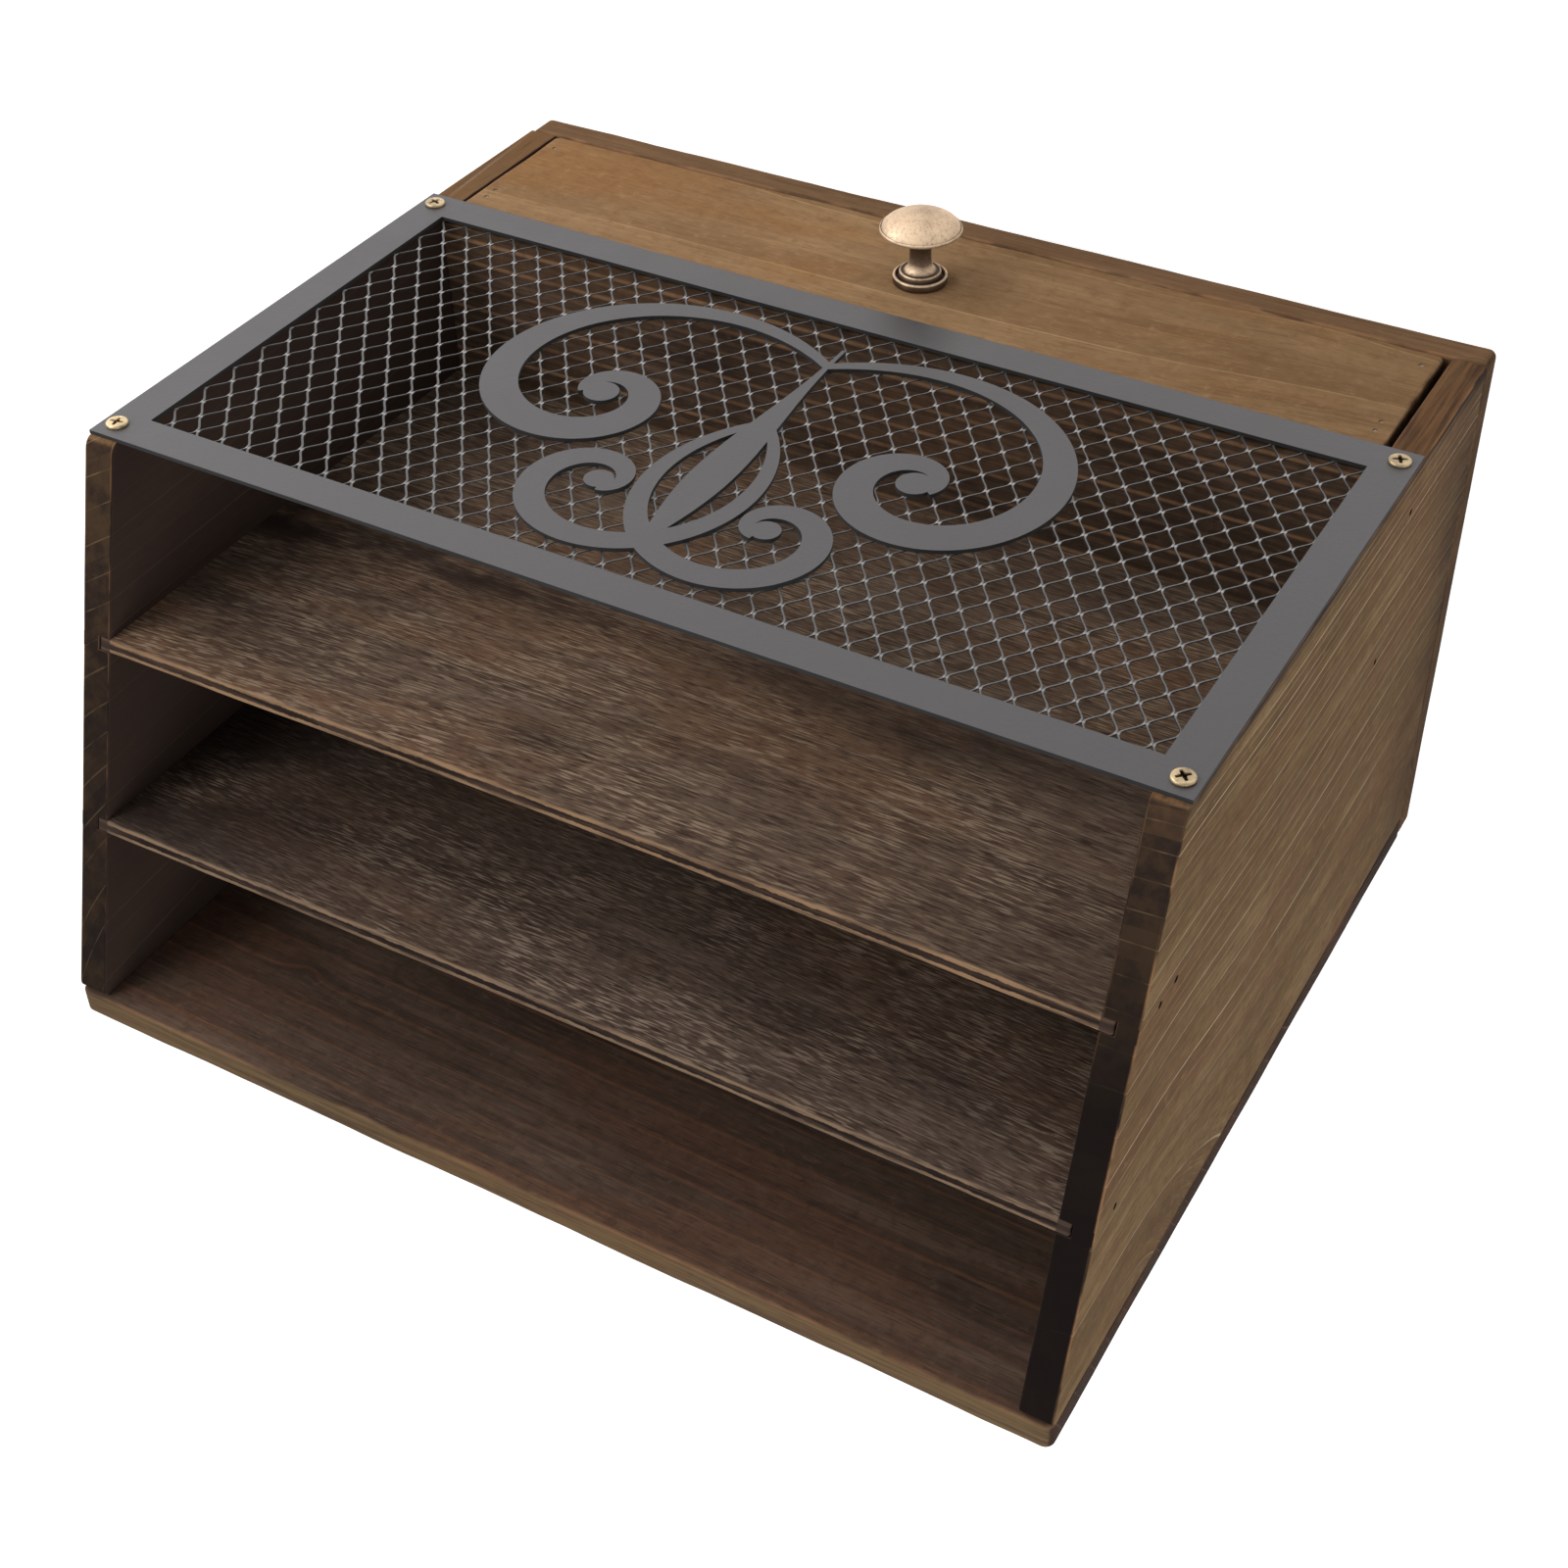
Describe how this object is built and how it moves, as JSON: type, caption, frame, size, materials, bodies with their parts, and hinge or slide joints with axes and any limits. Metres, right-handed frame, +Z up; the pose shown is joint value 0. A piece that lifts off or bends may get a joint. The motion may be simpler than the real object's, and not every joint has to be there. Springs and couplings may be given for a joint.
{
  "type": "desk letter box",
  "caption": "Sloping wooden letter sorter with upright mail slots behind an expanded-metal front in a steel frame, and a knobbed drawer below that slides forwards.",
  "frame": {"origin": "centre of the base board's underside", "axes": "+Z up, front faces -Y, +X to the right seen from the front"},
  "size_m": [0.33, 0.2028, 0.282],
  "materials": {
    "pine_stained": "dark brown stain, worn matt",
    "pine_drawer_front": "golden brown stain, worn matt, bold growth lines",
    "plywood_stained": "dark brown stain on three-ply, ply edges in view",
    "black_steel": "satin black paint",
    "grey_steel_mesh": "dull grey, uncoated",
    "brass_screws": "pale brass plating",
    "antique_brass": "antique brass, speckled",
    "bright_nails": "dull steel wire"
  },
  "bodies": {
    "case": {"base_board": "pine_stained", "left_side": "pine_stained", "right_side": "pine_stained", "back_board": "pine_stained", "drawer_shelf": "pine_stained", "front_divider": "plywood_stained", "rear_divider": "plywood_stained", "mesh_frame": "black_steel", "mesh_grille": "grey_steel_mesh", "scroll_ornament": "black_steel", "frame_screws": "brass_screws", "side_nails": "bright_nails", "base_nails": "bright_nails", "back_nails": "bright_nails"},
    "drawer": {"drawer_front": "pine_drawer_front", "drawer_left_side": "pine_stained", "drawer_right_side": "pine_stained", "drawer_back": "pine_stained", "drawer_bottom": "plywood_stained", "knob": "antique_brass", "knob_screw": "bright_nails", "drawer_front_nails": "bright_nails", "drawer_back_nails": "bright_nails", "drawer_bottom_nails": "bright_nails"}
  },
  "joints": [
    {"name": "drawer_slide", "type": "slide", "parent": "case", "child": "drawer", "axis": [0, -1, 0], "range_m": [0, 0.135]}
  ]
}
